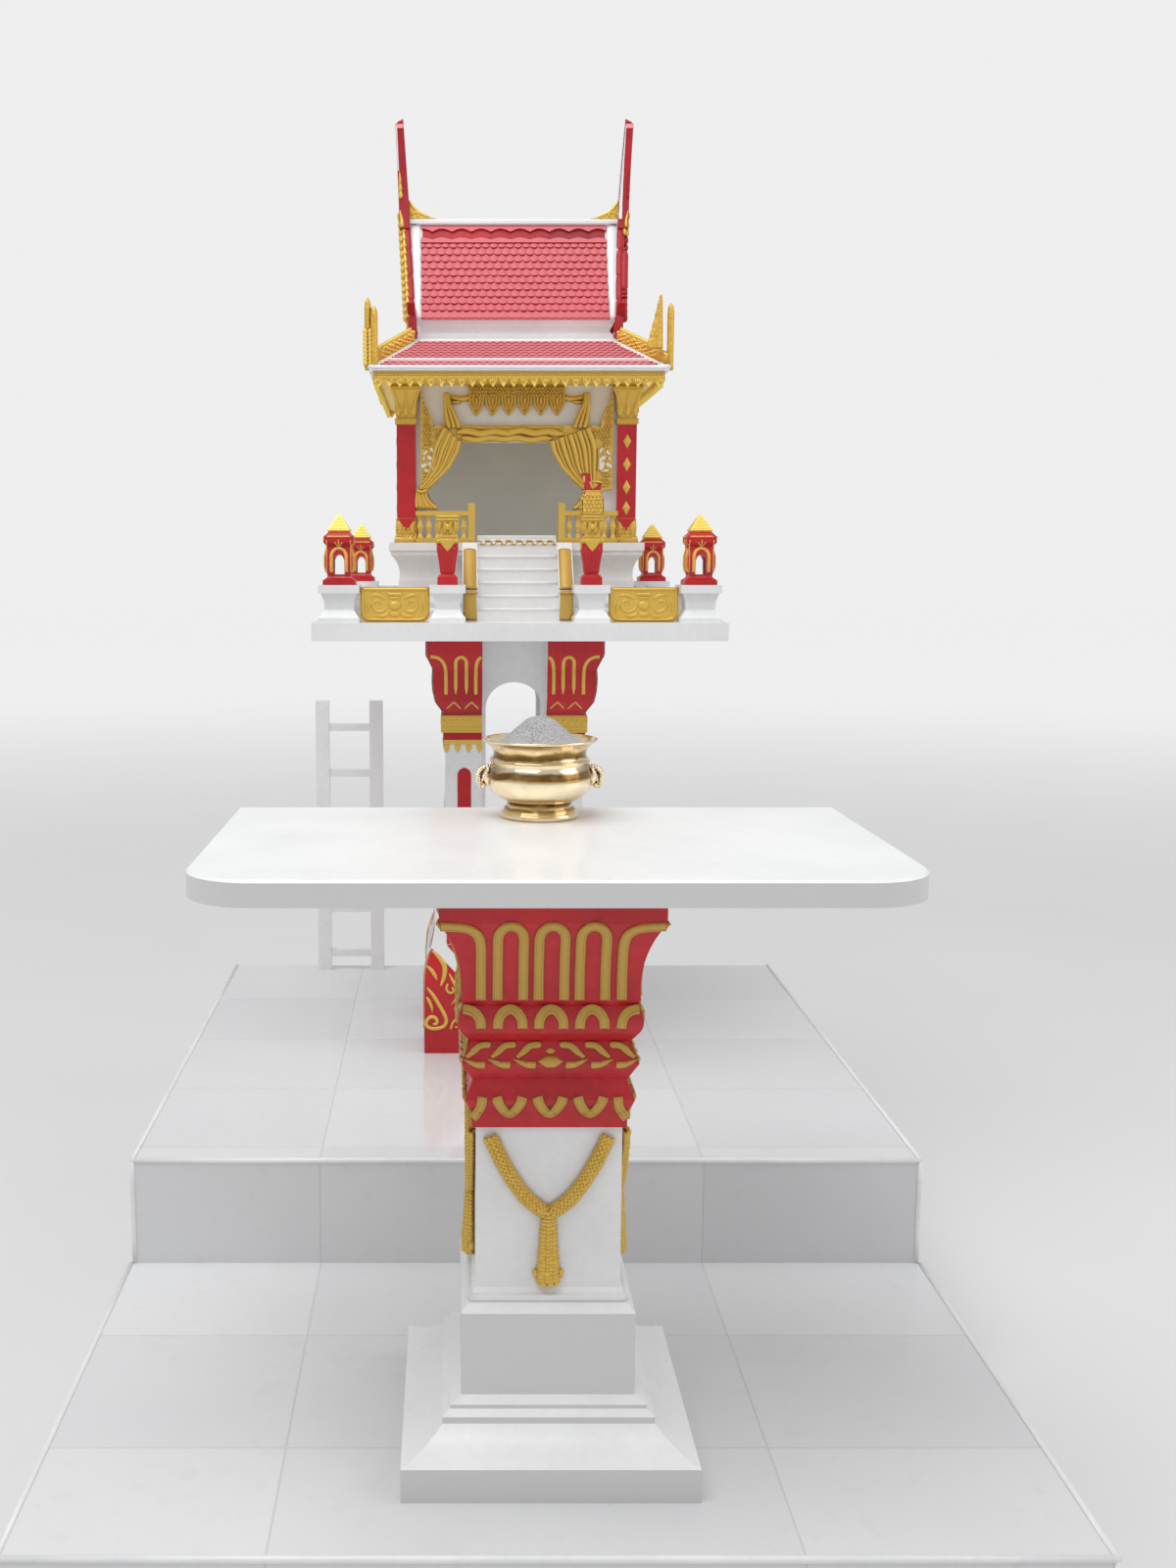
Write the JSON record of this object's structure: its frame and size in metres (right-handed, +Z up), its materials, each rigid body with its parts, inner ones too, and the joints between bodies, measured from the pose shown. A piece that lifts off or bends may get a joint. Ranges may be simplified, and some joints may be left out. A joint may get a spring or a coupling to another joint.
{
  "type": "spirit house",
  "caption": "Small shrine with steep tiled roofs on an arched stand, with an offering table and incense bowl in front, on a tiled two-step plinth.",
  "frame": {"origin": "centre of the plinth's footprint, on the ground", "axes": "+Z up, -Y towards the front where the offering table stands, +X to the right seen from the front"},
  "size_m": [1.25, 1.96, 2.0882],
  "materials": {
    "white_tile": "gloss",
    "white_paint": "satin",
    "red_paint": "satin",
    "roof_paint": "satin",
    "gold_paint": "satin",
    "brass": "polished",
    "sand": "matte"
  },
  "bodies": {
    "root": {"arch_back": "white_paint", "arch_front": "white_paint", "arch_left": "white_paint", "arch_right": "white_paint", "balustrades": "gold_paint", "bargeboards": "red_paint", "bowl_handles": "brass", "bowl_sand": "sand", "cornice": "gold_paint", "cornice_fringe": "gold_paint", "curtain": "gold_paint", "hip_finials": "gold_paint", "incense_bowl": "brass", "ladder_rails": "white_paint", "ladder_rungs": "white_paint", "lambrequin": "gold_paint", "lantern_caps": "gold_paint", "lantern_posts": "red_paint", "leg_back_left": "red_paint", "leg_back_right": "red_paint", "leg_bands": "gold_paint", "leg_front_left": "red_paint", "leg_front_right": "red_paint", "lower_step": "white_tile", "newel_capitals": "gold_paint", "newel_crown": "red_paint", "newel_vases": "red_paint", "parapet_back": "white_paint", "parapet_left": "white_paint", "parapet_pedestals": "white_paint", "parapet_right": "white_paint", "pillar_bases": "gold_paint", "pillar_capitals": "gold_paint", "pillar_shafts": "red_paint", "platform_slab": "white_paint", "podium": "white_paint", "relief_panels": "gold_paint", "ridge_beam": "white_paint", "ridge_leaves": "gold_paint", "roof_neck": "white_paint", "roof_spires": "red_paint", "skirt_roof": "roof_paint", "stair_flight": "white_paint", "stair_rails": "gold_paint", "table_base": "white_paint", "table_capital": "red_paint", "table_garlands": "gold_paint", "table_shaft": "white_paint", "table_slab": "white_paint", "upper_roof": "roof_paint", "upper_step": "white_tile", "wall_back": "white_paint", "wall_front": "white_paint", "wall_left": "white_paint", "wall_right": "white_paint"}
  },
  "joints": []
}
